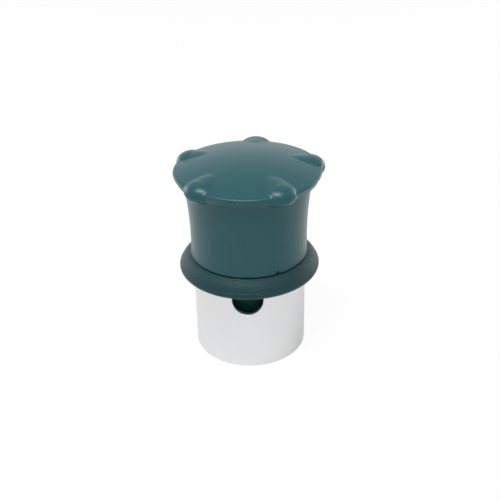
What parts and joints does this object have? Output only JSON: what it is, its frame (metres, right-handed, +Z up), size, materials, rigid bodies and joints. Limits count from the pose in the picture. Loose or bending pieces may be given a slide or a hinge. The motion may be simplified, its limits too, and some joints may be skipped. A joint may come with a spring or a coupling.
{
  "type": "pressure cooker steam regulator valve",
  "caption": "Round steam regulator valve with a lobed heat-insulated knob that turns on a flared collar, over a ported metal skirt with a sprung needle inside.",
  "frame": {"origin": "centre of the skirt's open mouth, in the plane of its bottom rim, on the valve's axis, where the lid's vent pipe enters", "axes": "+Z up along the valve's axis from the skirt to the cap; -Y to the front, where a steam port shows"},
  "size_m": [0.0455, 0.0456, 0.0637],
  "materials": {
    "smooth_plastic": "smooth satin dark green moulding",
    "grained_plastic": "fine spark-textured dark green moulding",
    "dark_plastic": "plain dark green moulding",
    "satin_steel": "satin turned",
    "spring_steel": "bright drawn",
    "brass": "turned",
    "silicone": "matte"
  },
  "bodies": {
    "base": {"skirt": "satin_steel", "skirt_gasket": "silicone", "collar": "grained_plastic", "steam_guide": "dark_plastic", "retaining_clip": "spring_steel", "pipe_seal": "silicone", "seat_bush": "brass", "spring_housing": "brass", "spring_seat": "brass", "adjusting_screw": "brass", "lock_ring": "brass", "pressure_spring": "spring_steel", "stop_pin": "spring_steel", "thrust_washer": "spring_steel", "circlip": "spring_steel", "base_screw_1": "spring_steel", "base_screw_2": "spring_steel", "base_screw_3": "spring_steel", "base_screw_4": "spring_steel"},
    "needle": {"valve_needle": "spring_steel", "needle_tip": "silicone"},
    "knob": {"barrel": "smooth_plastic", "wave_washer": "spring_steel", "knob_cap": "smooth_plastic"}
  },
  "joints": [
    {"name": "knob_turn", "type": "hinge", "parent": "base", "child": "knob", "pos_m": [0, 0, 0.033], "axis": [0, 0, 1], "range_deg": [0, 90]},
    {"name": "needle_lift", "type": "slide", "parent": "base", "child": "needle", "axis": [0, 0, 1], "range_m": [0, 0.002], "stiffness_N_per_m": 100, "springref_m": -0.0064, "deforming": ["pressure_spring"]}
  ]
}
